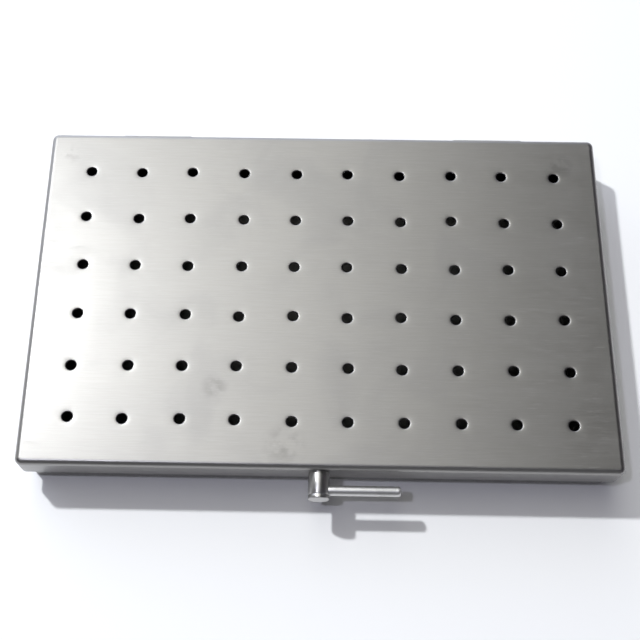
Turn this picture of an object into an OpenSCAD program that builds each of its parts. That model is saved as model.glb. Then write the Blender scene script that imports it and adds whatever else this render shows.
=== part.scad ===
// Dental instrument cassette: a perforated sheet steel lid, hinged at the back of a
// perforated tray, held shut by a turning bar latch at the front. Inside, notched
// silicone inserts in steel rails carry the instruments, and padded bars under the
// lid hold them down. Millimetres, +Z up, front (latch) towards -Y. The origin is the
// centre of the tray's underside.

/* [Cassette] */
// Outside width of the lid, left to right
lid_w = 204; // [196:1:230]
// Outside depth of the lid, front to back
lid_d = 128; // [124:1:150]
// Height of the closed cassette
total_h = 22; // [21.5:0.5:28]

/* [Lid] */
// Sheet thickness of the lid
lid_t = 0.9; // [0.7:0.1:1.2]
// Height of the lid's skirt, from its top face to its lower edge
skirt_h = 10.5; // [9.5:0.1:11.5]
// Outer radius of the bend from the lid's plate to its skirt
lid_bend_r = 2; // [1.3:0.1:2.1]
// Corner radius of the lid, seen from above
lid_corner_r = 2.4; // [2.2:0.1:4]

/* [Tray] */
// Sheet thickness of the tray
tray_t = 0.9; // [0.7:0.1:1.2]
// Gap between the lid's skirt and the tray's walls
side_gap = 1; // [0.9:0.1:1.4]
// Gap between the tray's rim and the underside of the lid
rim_gap = 0.3; // [0.2:0.1:0.6]
// Outer radius of the bend from the tray's floor to its walls
tray_bend_r = 1.6; // [1.3:0.1:2.1]
// Corner radius of the tray, seen from above
tray_corner_r = 2.6; // [2.2:0.1:4]

/* [Perforation] */
// Number of holes from left to right
hole_cols = 10; // [6:2:10]
// Number of holes from front to back
hole_rows = 6; // [4:2:6]
// Distance between hole centres, both ways
hole_pitch = 19.05; // [17.5:0.05:19.5]
// Diameter of a hole
hole_d = 3.6; // [2.5:0.1:3.9]
// Width and depth of the rolled edge round each hole in the lid
hole_roll = 0.35; // [0.15:0.05:0.5]

/* [Hinges] */
// Distance of each hinge's middle from its end of the lid
hinge_inset = 39.5; // [28:0.5:50]
// Width of a hinge leaf
leaf_w = 28; // [22:1:34]
// Sheet thickness of the hinge leaves
leaf_t = 1; // [0.8:0.1:1.2]
// Height of the lid leaf above the hinge axis
lid_leaf_h = 9.2; // [7.5:0.1:9.5]
// Depth of the tray leaf below the hinge axis
tray_leaf_h = 8; // [6:0.1:8]
// Distance of the hinge axis below the skirt's lower edge
axis_drop = 1.3; // [1.2:0.1:1.8]
// Diameter of the hinge pin
pin_d = 2; // [1.6:0.1:2.2]
// Radial clearance of the pin in the knuckle that turns on it
pin_clear = 0.05; // [0.02:0.01:0.1]
// Gap between neighbouring knuckles
knuckle_gap = 0.3; // [0.3:0.1:0.6]
// Length of the lid leaf's single knuckle
mid_knuckle = 11.4; // [8:0.1:14]
// Diameter of the pin's peened ends
pin_head_d = 3.2; // [2.6:0.1:3.6]
// Thickness of the pin's peened ends
pin_head_h = 0.7; // [0.5:0.1:1]

/* [Latch barrel and lever] */
// Distance of the latch axis below the top of the lid
latch_drop = 5.6; // [5:0.1:6]
// Diameter of the barrel
barrel_d = 7.2; // [6.6:0.1:8]
// How far the barrel stands out of the skirt
barrel_out = 9.1; // [8.4:0.1:11]
// Chamfer of the barrel's outer end
barrel_chamfer = 0.35; // [0.2:0.05:0.6]
// Distance of the barrel's groove from its outer end
groove_in = 1.5; // [1.1:0.05:1.7]
// Width and depth of the fine grooves on the barrel and the lever
groove = 0.15; // [0.1:0.05:0.25]
// Diameter of the lever bar
lever_d = 3.5; // [2.8:0.05:3.7]
// Distance of the lever bar from the skirt
lever_out = 5.9; // [4.9:0.1:6.1]
// Distance of the lever's tip from the latch axis
lever_reach = 27.5; // [22:0.5:36]
// How far the lever bar sits inside the barrel
lever_seat = 2.8; // [2:0.1:3.2]
// Radius of the lever's rounded tip edge
lever_tip_r = 1; // [0.5:0.1:1.2]
// Distance of the lever's groove from its tip
lever_groove_in = 2; // [1.5:0.1:4]

/* [Latch bearing and cam] */
// Diameter of the spindle
spindle_d = 3.8; // [3.4:0.1:4]
// Wall of the bush round the spindle
bush_wall = 0.8; // [0.6:0.1:0.9]
// Width of the bush's outer flange and of its inner collar beyond its wall
bush_lip = 0.6; // [0.4:0.1:0.7]
// Thickness of the bush's outer flange
bush_flange_t = 0.4; // [0.3:0.1:0.6]
// Thickness of the bush's inner collar
bush_collar_t = 0.6; // [0.4:0.1:0.7]
// Gap between the barrel and the bush's flange
barrel_gap = 0.1; // [0.05:0.05:0.3]
// Clearance round the bush in the tray's front notch
notch_clear = 0.9; // [0.8:0.1:1.2]
// Thickness of the spring washer's sheet
washer_t = 0.25; // [0.2:0.05:0.3]
// Thickness of the cam
cam_t = 1.2; // [1:0.1:1.6]
// Width of the cam's finger
cam_w = 3.6; // [3:0.1:4]
// Distance of the cam finger's tip from the latch axis
cam_reach = 9.5; // [8.5:0.1:10]
// Radius of the cam's hub
cam_hub_r = 3.4; // [3:0.1:3.6]
// Depth of the flat on the spindle's inner end
spindle_flat = 0.6; // [0.3:0.1:0.8]
// Diameter of the cam screw's thread
screw_d = 2; // [1.6:0.1:2.2]
// Diameter of the cam screw's head
screw_head_d = 4.4; // [4:0.1:5]
// Height of the cam screw's head
screw_head_h = 1.3; // [1:0.1:1.6]
// Length of the cam screw's thread
screw_l = 4; // [3:0.1:5]

/* [Keeper] */
// Sheet thickness of the keeper
keeper_t = 0.9; // [0.7:0.1:1.2]
// Distance of the keeper's near end from the latch axis
keeper_x = 4.6; // [4.2:0.1:5.4]
// Width of the keeper
keeper_w = 10; // [8:0.5:16]
// Height of the keeper's plate
keeper_h = 11; // [8:0.5:12]
// How far the keeper's lip reaches over the cam
keeper_lip = 3.2; // [2.8:0.1:4.5]
// Running gap between the cam and the keeper
cam_gap = 0.3; // [0.2:0.05:0.5]

/* [Instrument rails] */
// Hole pitches from the cassette's middle to each rail, which stands between two columns
rail_pitches = 3; // [2:1:3]
// Length of the rails
rail_l = 104; // [96:1:110]
// Width of a rail
rail_w = 9; // [8:0.1:10]
// Height of a rail
rail_h = 5.5; // [4:0.1:6]
// Sheet thickness of the rails and the hold-down bars
rail_t = 0.8; // [0.6:0.1:1]
// Height of the silicone insert above its rail
insert_rise = 6.6; // [5:0.1:7]
// Number of notches in an insert
notch_n = 8; // [4:1:8]
// Distance between neighbouring notches
notch_pitch = 12.4; // [10:0.1:12.6]
// Width of a notch
notch_w = 6.8; // [5:0.1:7.4]
// Depth of a notch
notch_depth = 5.2; // [4.2:0.1:5.4]

/* [Hold-down bars] */
// Height of a hold-down bar
bar_h = 3; // [2.4:0.1:3.6]
// Length of a hold-down bar
bar_l = 98; // [90:1:104]
// How far the silicone pad stands out of its bar
pad_drop = 3; // [2:0.1:3.4]
// Depth of the scallops in the pad
scallop = 0.8; // [0.3:0.1:1.2]

/* [Hidden] */
$fn = 48;

steel = [0.74, 0.73, 0.71];
dark_steel = [0.62, 0.61, 0.60];
bright_steel = [0.82, 0.82, 0.81];
silicone = [0.16, 0.27, 0.36];

// Fit of a fixed round part in its seat, and of a silicone strip in its channel
seat_clear = 0.02;
strip_clear = 0.1;
// How far a cut runs past the face that it opens
over = 1;
// How far two joined forms of one piece run into each other
lap = 0.5;
// Inner radius of the folds in the hinge leaves, and in the rails, bars and keeper
leaf_fold = 0.5;
strip_fold = 0.4;
// How much longer a rail is than its insert
insert_short = 1;
// Latch: rise of the dished washer, its rim beyond the bush, its play on both sides,
// the spindle's setback from the cam's face, the blind end of the screw's hole,
// the crowning of the screw's head
washer_rise = 0.2;
washer_rim = 0.3;
washer_play = 0.02;
spindle_short = 0.1;
blind_end = 0.5;
head_crown = 1;

// Heights and faces that several pieces share
lid_under = total_h - lid_t;
skirt_bottom = total_h - skirt_h;
tray_w = lid_w - 2 * (lid_t + side_gap);
tray_d = lid_d - 2 * (lid_t + side_gap);
tray_h = lid_under - rim_gap;
wall_out = tray_d / 2;
wall_in = wall_out - tray_t;

// Hinge axis: the knuckles roll outwards from the skirt's rear face
hinge_x = lid_w / 2 - hinge_inset;
knuckle_r = pin_d / 2 + pin_clear + leaf_t;
axis_y = lid_d / 2 + knuckle_r;
axis_z = skirt_bottom - axis_drop;
leaf_bend_r = leaf_t + leaf_fold;
leaf_corner_r = 2;

// Latch: distances along its axis are counted outwards from the skirt's front face
latch_z = total_h - latch_drop;
bush_r = spindle_d / 2 + pin_clear + bush_wall;
notch_r = bush_r + bush_lip + notch_clear;
wall_stack = lid_t + side_gap + tray_t;
cam_front = wall_stack + keeper_t + cam_gap;
cam_back = cam_front + cam_t;
bush_end = cam_front - 2 * washer_t - washer_rise;
screw_hole_depth = screw_l + blind_end;
lip_z = latch_z + cam_w / 2 + cam_gap;

// Rails: the inserts stand on the rails' webs, the pads hang from the bars' webs
rail_x = rail_pitches * hole_pitch;
strip_w = rail_w - 2 * rail_t - strip_clear;
strip_r = 0.5;
rail_top = tray_t + rail_h;
insert_top = rail_top + insert_rise;
rail_bend_r = rail_t + strip_fold;
bar_bottom = lid_under - bar_h;
insert_l = rail_l - insert_short;
scallop_r = notch_pitch / 2;

// Section of a folded sheet: floor strip, bend and upright wall
module sheet_section(h, t, bend_r, corner_r) {
    square([corner_r - bend_r, t]);
    translate([corner_r - bend_r, bend_r]) intersection() {
        difference() {
            circle(bend_r);
            circle(bend_r - t);
        }
        translate([0, -bend_r]) square(bend_r);
    }
    translate([corner_r - t, bend_r]) square([t, h - bend_r]);
}

// Open sheet pan: flat floor on z = 0, walls up to z = h, rounded bends and corners
module pan(w, d, h, t, bend_r, corner_r) {
    run = [w - 2 * corner_r, d - 2 * corner_r];
    translate([-run[0] / 2, -run[1] / 2, 0]) cube([run[0], run[1], t]);
    for (side = [0:3]) {
        along = run[(side + 1) % 2];
        out = run[side % 2] / 2;
        rotate([0, 0, 90 * side]) {
            translate([out, along / 2, 0]) rotate([90, 0, 0])
                linear_extrude(along) sheet_section(h, t, bend_r, corner_r);
            translate([out, along / 2, 0]) rotate_extrude(angle = 90)
                sheet_section(h, t, bend_r, corner_r);
        }
    }
}

// Places its children on the grid of holes
module hole_grid() {
    for (col = [0:hole_cols - 1], row = [0:hole_rows - 1])
        translate([(col - (hole_cols - 1) / 2) * hole_pitch,
                   (row - (hole_rows - 1) / 2) * hole_pitch, 0]) children();
}

module base_tray() {
    color(dark_steel) difference() {
        pan(tray_w, tray_d, tray_h, tray_t, tray_bend_r, tray_corner_r);
        hole_grid() translate([0, 0, -over]) cylinder(h = tray_t + 2 * over, d = hole_d, $fn = 24);
        translate([0, 0, latch_z]) rotate([90, 0, 0]) linear_extrude(lid_d) {
            circle(notch_r);
            translate([-notch_r, 0]) square([2 * notch_r, total_h]);
        }
    }
}

module lid() {
    color(steel) difference() {
        translate([0, 0, total_h]) mirror([0, 0, 1])
            pan(lid_w, lid_d, skirt_h, lid_t, lid_bend_r, lid_corner_r);
        hole_grid() {
            translate([0, 0, lid_under - over])
                cylinder(h = lid_t + 2 * over, d = hole_d, $fn = 24);
            translate([0, 0, total_h - hole_roll])
                cylinder(h = 2 * hole_roll, r1 = hole_d / 2, r2 = hole_d / 2 + 2 * hole_roll,
                         $fn = 24);
        }
        translate([0, 0, latch_z]) rotate([90, 0, 0])
            cylinder(h = lid_d, r = bush_r + seat_clear);
    }
}

// Turns a section drawn in the (Y, Z) plane into a bar along X from x = from to x = to
module bar_along_x(from, to) {
    translate([from, 0, 0]) rotate([90, 0, 90]) linear_extrude(to - from) children();
}

// Lid leaf about the hinge axis: one rolled knuckle and a plate on the skirt's rear face
module hinge_leaf_lid() {
    plate_from = knuckle_r + knuckle_gap;
    difference() {
        union() {
            bar_along_x(-mid_knuckle / 2, mid_knuckle / 2) {
                circle(knuckle_r);
                translate([-knuckle_r, 0]) square([leaf_t, plate_from + leaf_corner_r]);
            }
            translate([0, -knuckle_r + leaf_t, 0]) rotate([90, 0, 0]) linear_extrude(leaf_t) {
                translate([-leaf_w / 2, plate_from])
                    square([leaf_w, lid_leaf_h - plate_from - leaf_corner_r]);
                leaf_end(lid_leaf_h);
            }
        }
        rotate([0, 90, 0]) cylinder(h = leaf_w, r = pin_d / 2 + pin_clear, center = true);
    }
}

// Rounded end of a leaf plate whose free edge is at y = far
module leaf_end(far) {
    inner = leaf_w / 2 - leaf_corner_r;
    translate([-inner, far - leaf_corner_r - lap]) square([2 * inner, leaf_corner_r + lap]);
    for (side = [-1, 1]) translate([side * inner, far - leaf_corner_r]) circle(leaf_corner_r);
}

// Tray leaf about the hinge axis: two rolled knuckles on arms bent out from the plate
module hinge_leaf_tray() {
    plate_y = wall_out - axis_y;
    arm_z = -knuckle_r;
    arm_from = mid_knuckle / 2 + knuckle_gap;
    plate_top = arm_z + leaf_t - leaf_bend_r;
    difference() {
        union() {
            for (side = [0, 1]) mirror([side, 0, 0]) bar_along_x(arm_from, leaf_w / 2) {
                circle(knuckle_r);
                translate([plate_y + leaf_bend_r, arm_z])
                    square([-plate_y - leaf_bend_r, leaf_t]);
                translate([plate_y + leaf_bend_r, plate_top]) intersection() {
                    difference() {
                        circle(leaf_bend_r);
                        circle(leaf_bend_r - leaf_t);
                    }
                    translate([-leaf_bend_r, 0]) square(leaf_bend_r);
                }
            }
            translate([0, plate_y + leaf_t, 0]) rotate([90, 0, 0]) linear_extrude(leaf_t)
                mirror([0, 1]) {
                    translate([-leaf_w / 2, -plate_top])
                        square([leaf_w, tray_leaf_h + plate_top - leaf_corner_r]);
                    leaf_end(tray_leaf_h);
                }
        }
        rotate([0, 90, 0])
            cylinder(h = leaf_w + 2 * over, r = pin_d / 2 + seat_clear, center = true);
    }
}

module hinge_pin() {
    head_at = leaf_w / 2 + seat_clear;
    rotate([0, 90, 0]) {
        cylinder(h = 2 * head_at, d = pin_d, center = true);
        for (side = [0, 1]) mirror([0, 0, side]) translate([0, 0, head_at])
            cylinder(h = pin_head_h, d1 = pin_head_d, d2 = pin_d);
    }
}

// Places its children at the left (side = -1) or right (side = 1) hinge
module at_hinge(side) {
    translate([side * hinge_x, axis_y, axis_z]) children();
}

module hinge_leaf_tray_left() { color(dark_steel) at_hinge(-1) hinge_leaf_tray(); }
module hinge_leaf_tray_right() { color(dark_steel) at_hinge(1) hinge_leaf_tray(); }
module hinge_leaf_lid_left() { color(dark_steel) at_hinge(-1) hinge_leaf_lid(); }
module hinge_leaf_lid_right() { color(dark_steel) at_hinge(1) hinge_leaf_lid(); }
module hinge_pin_left() { color(bright_steel) at_hinge(-1) hinge_pin(); }
module hinge_pin_right() { color(bright_steel) at_hinge(1) hinge_pin(); }

// Places its children on the latch axis: their +Z points out of the front
module at_latch() {
    translate([0, -lid_d / 2, latch_z]) rotate([90, 0, 0]) children();
}

module latch_barrel() {
    barrel_from = bush_flange_t + barrel_gap;
    groove_at = barrel_out - groove_in;
    r = barrel_d / 2;
    color(bright_steel) at_latch() difference() {
        union() {
            rotate_extrude() polygon([[0, barrel_from], [r, barrel_from],
                [r, groove_at - groove], [r - groove, groove_at], [r, groove_at + groove],
                [r, barrel_out - barrel_chamfer], [r - barrel_chamfer, barrel_out],
                [0, barrel_out]]);
            translate([0, 0, -cam_front])
                cylinder(h = cam_front + barrel_from + lap, d = spindle_d);
            translate([0, 0, -cam_back + spindle_short]) linear_extrude(cam_t) spindle_end(0);
        }
        translate([0, 0, -cam_back]) cylinder(h = screw_hole_depth, d = screw_d);
        translate([r - lever_seat, 0, lever_out]) rotate([0, 90, 0])
            cylinder(h = lever_reach, r = lever_d / 2 + seat_clear);
    }
}

// Round spindle end with one flat, grown by a clearance
module spindle_end(clear) {
    difference() {
        circle(spindle_d / 2 + clear);
        translate([-spindle_d, spindle_d / 2 - spindle_flat + clear])
            square([2 * spindle_d, spindle_d]);
    }
}

module latch_lever() {
    r = lever_d / 2;
    seat_at = barrel_d / 2 - lever_seat;
    groove_at = lever_reach - lever_groove_in;
    color(bright_steel) at_latch() translate([0, 0, lever_out]) rotate([0, 90, 0])
        rotate_extrude() difference() {
            union() {
                translate([0, seat_at]) square([r, lever_reach - lever_tip_r - seat_at]);
                translate([0, lever_reach - lever_tip_r - lap])
                    square([r - lever_tip_r, lever_tip_r + lap]);
                translate([r - lever_tip_r, lever_reach - lever_tip_r]) intersection() {
                    circle(lever_tip_r);
                    square(lever_tip_r);
                }
            }
            translate([r, groove_at]) circle(groove);
        }
}

module latch_bush() {
    flange_r = bush_r + bush_lip;
    color(dark_steel) at_latch() rotate_extrude() difference() {
        union() {
            translate([0, -bush_end]) square([bush_r, bush_end + bush_flange_t]);
            square([flange_r, bush_flange_t]);
            translate([0, -lid_t - bush_collar_t]) square([flange_r, bush_collar_t]);
        }
        translate([0, -bush_end - over])
            square([spindle_d / 2 + pin_clear, bush_end + bush_flange_t + 2 * over]);
    }
}

// Conical spring washer between the bush and the cam
module latch_spring_washer() {
    inner = spindle_d / 2 + seat_clear;
    outer = bush_r + washer_rim;
    dish = cam_front - bush_end - washer_t - 2 * washer_play;
    color(bright_steel) at_latch() translate([0, 0, -cam_front + washer_play])
        rotate_extrude() polygon([[inner, dish], [outer, 0], [outer, washer_t],
                                  [inner, dish + washer_t]]);
}

module latch_cam() {
    color(dark_steel) at_latch() translate([0, 0, -cam_back]) linear_extrude(cam_t)
        difference() {
            union() {
                circle(cam_hub_r);
                translate([cam_w / 2 - cam_reach, -cam_w / 2]) square([cam_reach - cam_w / 2, cam_w]);
                translate([cam_w / 2 - cam_reach, 0]) circle(cam_w / 2);
            }
            spindle_end(seat_clear);
        }
}

module latch_screw() {
    slot_w = 0.6;
    color(bright_steel) at_latch() difference() {
        union() {
            translate([0, 0, -cam_back - screw_head_h]) {
                cylinder(h = screw_head_h / 2, d1 = screw_head_d - head_crown, d2 = screw_head_d);
                translate([0, 0, screw_head_h / 2])
                    cylinder(h = screw_head_h / 2, d = screw_head_d);
            }
            translate([0, 0, -cam_back - lap])
                cylinder(h = screw_l + lap, r = screw_d / 2 - seat_clear);
        }
        translate([-screw_head_d, -slot_w / 2, -cam_back - screw_head_h / 2 - over])
            cube([2 * screw_head_d, slot_w, over]);
    }
}

// Angle inside the tray's front wall: its lip reaches over the cam's finger
module latch_keeper() {
    bend_r = keeper_t + strip_fold;
    top = lip_z + keeper_t;
    face = -wall_in;
    color(dark_steel) bar_along_x(keeper_x, keeper_x + keeper_w) {
        translate([face, top - keeper_h]) square([keeper_t, keeper_h - bend_r]);
        translate([face + bend_r, lip_z]) square([keeper_lip - bend_r, keeper_t]);
        translate([face + bend_r, top - bend_r]) intersection() {
            difference() {
                circle(bend_r);
                circle(bend_r - keeper_t);
            }
            translate([-bend_r, 0]) square(bend_r);
        }
    }
}

// Section of a folded channel that stands on y = 0 and opens upwards
module channel_section(h) {
    for (side = [0, 1]) mirror([side, 0])
        sheet_section(h, rail_t, rail_bend_r, rail_w / 2);
}

// Turns a section drawn in the (X, Z) plane into a bar along Y, centred on y = 0
module bar_along_y(length) {
    rotate([90, 0, 0]) translate([0, 0, -length / 2]) linear_extrude(length) children();
}

// Section of the silicone strip that fills a channel: it stands on y = 0
module strip_section(h) {
    inner = strip_w / 2 - strip_r;
    translate([-inner, 0]) square([2 * inner, h]);
    translate([-strip_w / 2, strip_r]) square([strip_w, h - strip_r]);
    for (side = [-1, 1]) translate([side * inner, strip_r]) circle(strip_r);
}

module instrument_rail(side) {
    color(steel) translate([side * rail_x, 0, tray_t]) bar_along_y(rail_l)
        channel_section(rail_h);
}

// Places its children at each notch along Y
module at_notches() {
    for (i = [0:notch_n - 1]) translate([(i - (notch_n - 1) / 2) * notch_pitch, 0]) children();
}

module rail_insert(side) {
    color(silicone) translate([side * rail_x, 0, 0]) {
        translate([0, 0, tray_t + rail_t]) bar_along_y(insert_l)
            strip_section(rail_h - rail_t);
        bar_along_x(-rail_w / 2, rail_w / 2) difference() {
            translate([-insert_l / 2, rail_top]) square([insert_l, insert_rise]);
            at_notches() {
                translate([0, insert_top - notch_depth + notch_w / 2]) circle(d = notch_w);
                translate([-notch_w / 2, insert_top - notch_depth + notch_w / 2])
                    square([notch_w, notch_depth]);
            }
        }
    }
}

module hold_down_bar(side) {
    color(steel) translate([side * rail_x, 0, lid_under]) mirror([0, 0, 1])
        bar_along_y(bar_l) channel_section(bar_h);
}

module hold_down_pad(side) {
    pad_bottom = bar_bottom - pad_drop;
    color(silicone) translate([side * rail_x, 0, 0]) {
        translate([0, 0, lid_under - rail_t]) mirror([0, 0, 1]) bar_along_y(bar_l)
            strip_section(bar_h - rail_t);
        bar_along_x(-rail_w / 2, rail_w / 2) difference() {
            translate([-bar_l / 2, pad_bottom]) square([bar_l, pad_drop]);
            at_notches() translate([0, pad_bottom - scallop_r + scallop]) circle(scallop_r);
        }
    }
}

module instrument_rail_left() { instrument_rail(-1); }
module instrument_rail_right() { instrument_rail(1); }
module rail_insert_left() { rail_insert(-1); }
module rail_insert_right() { rail_insert(1); }
module hold_down_bar_left() { hold_down_bar(-1); }
module hold_down_bar_right() { hold_down_bar(1); }
module hold_down_pad_left() { hold_down_pad(-1); }
module hold_down_pad_right() { hold_down_pad(1); }

base_tray();
lid();
hinge_leaf_tray_left();
hinge_leaf_tray_right();
hinge_leaf_lid_left();
hinge_leaf_lid_right();
hinge_pin_left();
hinge_pin_right();
latch_barrel();
latch_lever();
latch_bush();
latch_spring_washer();
latch_cam();
latch_screw();
latch_keeper();
instrument_rail_left();
instrument_rail_right();
rail_insert_left();
rail_insert_right();
hold_down_bar_left();
hold_down_bar_right();
hold_down_pad_left();
hold_down_pad_right();
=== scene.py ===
"""Dental instrument cassette: finished surfaces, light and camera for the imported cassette."""

import math

import bmesh
import bpy
from mathutils import Matrix, Vector


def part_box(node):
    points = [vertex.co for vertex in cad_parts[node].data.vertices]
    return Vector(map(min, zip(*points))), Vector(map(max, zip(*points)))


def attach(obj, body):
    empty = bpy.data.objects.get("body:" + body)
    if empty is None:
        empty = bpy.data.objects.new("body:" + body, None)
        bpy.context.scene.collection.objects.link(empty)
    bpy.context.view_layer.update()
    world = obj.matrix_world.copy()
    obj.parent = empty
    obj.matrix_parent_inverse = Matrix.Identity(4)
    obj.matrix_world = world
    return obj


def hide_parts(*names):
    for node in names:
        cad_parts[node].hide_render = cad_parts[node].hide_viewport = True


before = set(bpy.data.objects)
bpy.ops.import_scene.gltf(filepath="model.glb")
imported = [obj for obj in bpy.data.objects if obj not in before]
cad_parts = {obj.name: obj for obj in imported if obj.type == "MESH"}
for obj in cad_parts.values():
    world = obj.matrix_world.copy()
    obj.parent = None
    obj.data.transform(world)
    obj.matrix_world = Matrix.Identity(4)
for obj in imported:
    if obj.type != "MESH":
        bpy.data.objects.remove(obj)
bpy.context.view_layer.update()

MM = 0.001

# Perforation shared by the lid and the tray
PITCH = 19.05 * MM
COLUMNS = 10
ROWS = 6
HOLE_R = 1.8 * MM
CELL_STEPS = 8

# Sheet metal of the lid and the tray
SHEET = 0.9 * MM
LID_BEND = 2.0 * MM
LID_CORNER = 2.4 * MM
TRAY_BEND = 1.6 * MM
TRAY_CORNER = 2.6 * MM
DEBURR = 0.12 * MM
LID_TOP = 22.0 * MM

# Latch: along its axis, counted outwards from the skirt's front face
LATCH_Z = 16.4 * MM
SKIRT_Y = -64.0 * MM
BARREL_R = 3.6 * MM
BARREL_FROM = 0.5 * MM
BARREL_OUT = 9.1 * MM
BARREL_GROOVE = 7.6 * MM
SPINDLE_R = 1.9 * MM
SPINDLE_IN = 4.0 * MM
LEVER_R = 1.75 * MM
LEVER_OUT = 5.9 * MM
LEVER_SEAT = 0.8 * MM
LEVER_REACH = 27.5 * MM
LEVER_TIP = 1.0 * MM
LEVER_GROOVE_IN = 2.0 * MM
NOTCH_R = 4.25 * MM
BUSH_HOLE_R = 2.77 * MM


def add_camera():
    """The photograph's point of view."""
    data = bpy.data.cameras.new("photo_view")
    data.sensor_width = 36.0
    data.lens = 61.509
    data.shift_x = 0.046875
    data.shift_y = -0.0296875
    data.clip_start = 0.01
    data.clip_end = 60.0
    camera = bpy.data.objects.new("photo_view", data)
    camera.location = (-0.00583, -0.15502, 0.37761)
    camera.rotation_euler = [math.radians(a) for a in (23.072, 0.338, 1.104)]
    bpy.context.scene.collection.objects.link(camera)
    bpy.context.scene.camera = camera


add_camera()


# Node helpers


def put(tree, kind, inputs=None, **settings):
    """Adds a node with its settings. An input given as a socket is linked, a value is set."""
    node = tree.nodes.new(kind)
    for key, value in settings.items():
        setattr(node, key, value)
    for key, value in (inputs or {}).items():
        if isinstance(value, bpy.types.NodeSocket):
            tree.links.new(value, node.inputs[key])
        else:
            node.inputs[key].default_value = value
    return node


def maths(tree, operation, first, second=0.0, clamp=False):
    """Output of a Math node."""
    node = put(tree, "ShaderNodeMath", {0: first, 1: second}, operation=operation)
    node.use_clamp = clamp
    return node.outputs[0]


def ramp(tree, value, low, high, to_low=0.0, to_high=1.0):
    """Value mapped smoothly from low..high to to_low..to_high."""
    node = put(tree, "ShaderNodeMapRange", interpolation_type="SMOOTHSTEP")
    tree.links.new(value, node.inputs["Value"])
    node.inputs["From Min"].default_value = low
    node.inputs["From Max"].default_value = high
    node.inputs["To Min"].default_value = to_low
    node.inputs["To Max"].default_value = to_high
    return node.outputs["Result"]


def blend_colour(tree, factor, first, second, mode="MIX"):
    """Output of a colour Mix node."""
    node = put(tree, "ShaderNodeMix", data_type="RGBA", blend_type=mode)
    for socket, value in ((node.inputs[0], factor), (node.inputs[6], first), (node.inputs[7], second)):
        if isinstance(value, bpy.types.NodeSocket):
            tree.links.new(value, socket)
        else:
            socket.default_value = value
    return node.outputs[2]


def new_group(name, kind, inputs, outputs):
    """An empty node group with named sockets, its input node and its output node."""
    tree = bpy.data.node_groups.new(name, kind)
    for label, socket_type, value in inputs:
        socket = tree.interface.new_socket(label, in_out="INPUT", socket_type=socket_type)
        if value is not None:
            socket.default_value = value
    for label, socket_type in outputs:
        tree.interface.new_socket(label, in_out="OUTPUT", socket_type=socket_type)
    return tree, tree.nodes.new("NodeGroupInput"), tree.nodes.new("NodeGroupOutput")


# Surface effects that several finishes share


def make_sheet_grain():
    """Rolling grain of sheet steel: streaks along X that follow the folds round the walls."""
    tree, given, result = new_group(
        "sheet_grain",
        "ShaderNodeTree",
        [
            ("Position", "NodeSocketVector", None),
            ("Normal", "NodeSocketVector", None),
            ("Length mm", "NodeSocketFloat", 14.0),
            ("Width mm", "NodeSocketFloat", 0.35),
        ],
        [("Streak", "NodeSocketFloat"), ("Band", "NodeSocketFloat")],
    )
    place = put(tree, "ShaderNodeSeparateXYZ", {0: given.outputs["Position"]})
    facing = put(tree, "ShaderNodeSeparateXYZ", {0: given.outputs["Normal"]})
    sideways = maths(tree, "ABSOLUTE", facing.outputs["X"])
    down = maths(tree, "MULTIPLY", place.outputs["Z"], sideways)
    along = maths(tree, "ADD", place.outputs["X"], down)
    level = maths(tree, "SUBTRACT", 1.0, sideways)
    height = maths(tree, "MULTIPLY", place.outputs["Z"], level)
    per_length = maths(tree, "DIVIDE", 1000.0, given.outputs["Length mm"])
    per_width = maths(tree, "DIVIDE", 1000.0, given.outputs["Width mm"])
    vector = put(
        tree,
        "ShaderNodeCombineXYZ",
        {
            0: maths(tree, "MULTIPLY", along, per_length),
            1: maths(tree, "MULTIPLY", place.outputs["Y"], per_width),
            2: maths(tree, "MULTIPLY", height, per_width),
        },
    )
    fine = put(tree, "ShaderNodeTexNoise", {"Vector": vector.outputs[0], "Scale": 1.0, "Detail": 3.0})
    wide = put(tree, "ShaderNodeTexNoise", {"Vector": vector.outputs[0], "Scale": 0.11, "Detail": 2.0})
    tree.links.new(fine.outputs["Fac"], result.inputs["Streak"])
    tree.links.new(wide.outputs["Fac"], result.inputs["Band"])
    return tree


def make_handling_marks():
    """Traces of use: cloudy smudges, and sparse short scratches in three directions."""
    tree, given, result = new_group(
        "handling_marks",
        "ShaderNodeTree",
        [
            ("Position", "NodeSocketVector", None),
            ("Smudge size mm", "NodeSocketFloat", 26.0),
            ("Scratch length mm", "NodeSocketFloat", 7.0),
            ("Scratch share", "NodeSocketFloat", 0.3),
        ],
        [("Smudge", "NodeSocketFloat"), ("Scratch", "NodeSocketFloat")],
    )
    cloud_scale = maths(tree, "DIVIDE", 1000.0, given.outputs["Smudge size mm"])
    cloud = put(
        tree,
        "ShaderNodeTexNoise",
        {"Vector": given.outputs["Position"], "Scale": cloud_scale, "Detail": 4.0, "Distortion": 0.6},
    )
    tree.links.new(ramp(tree, cloud.outputs["Fac"], 0.42, 0.72), result.inputs["Smudge"])
    line_scale = maths(tree, "DIVIDE", 1000.0, given.outputs["Scratch length mm"])
    start = maths(tree, "SUBTRACT", 0.84, maths(tree, "MULTIPLY", given.outputs["Scratch share"], 0.2))
    marks = None
    for turn in (8.0, -34.0, 71.0):
        turned_round = put(
            tree,
            "ShaderNodeMapping",
            {
                "Vector": given.outputs["Position"],
                "Rotation": (0.0, 0.0, math.radians(turn)),
                "Scale": (1.0, 34.0, 34.0),
                "Location": (turn, turn * 0.37, 0.0),
            },
        )
        lines = put(
            tree,
            "ShaderNodeTexNoise",
            {"Vector": turned_round.outputs[0], "Scale": line_scale, "Detail": 0.0},
        )
        over = maths(tree, "SUBTRACT", lines.outputs["Fac"], start)
        mark = maths(tree, "MULTIPLY", over, 18.0, clamp=True)
        marks = mark if marks is None else maths(tree, "MAXIMUM", marks, mark)
    tree.links.new(marks, result.inputs["Scratch"])
    return tree


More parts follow.
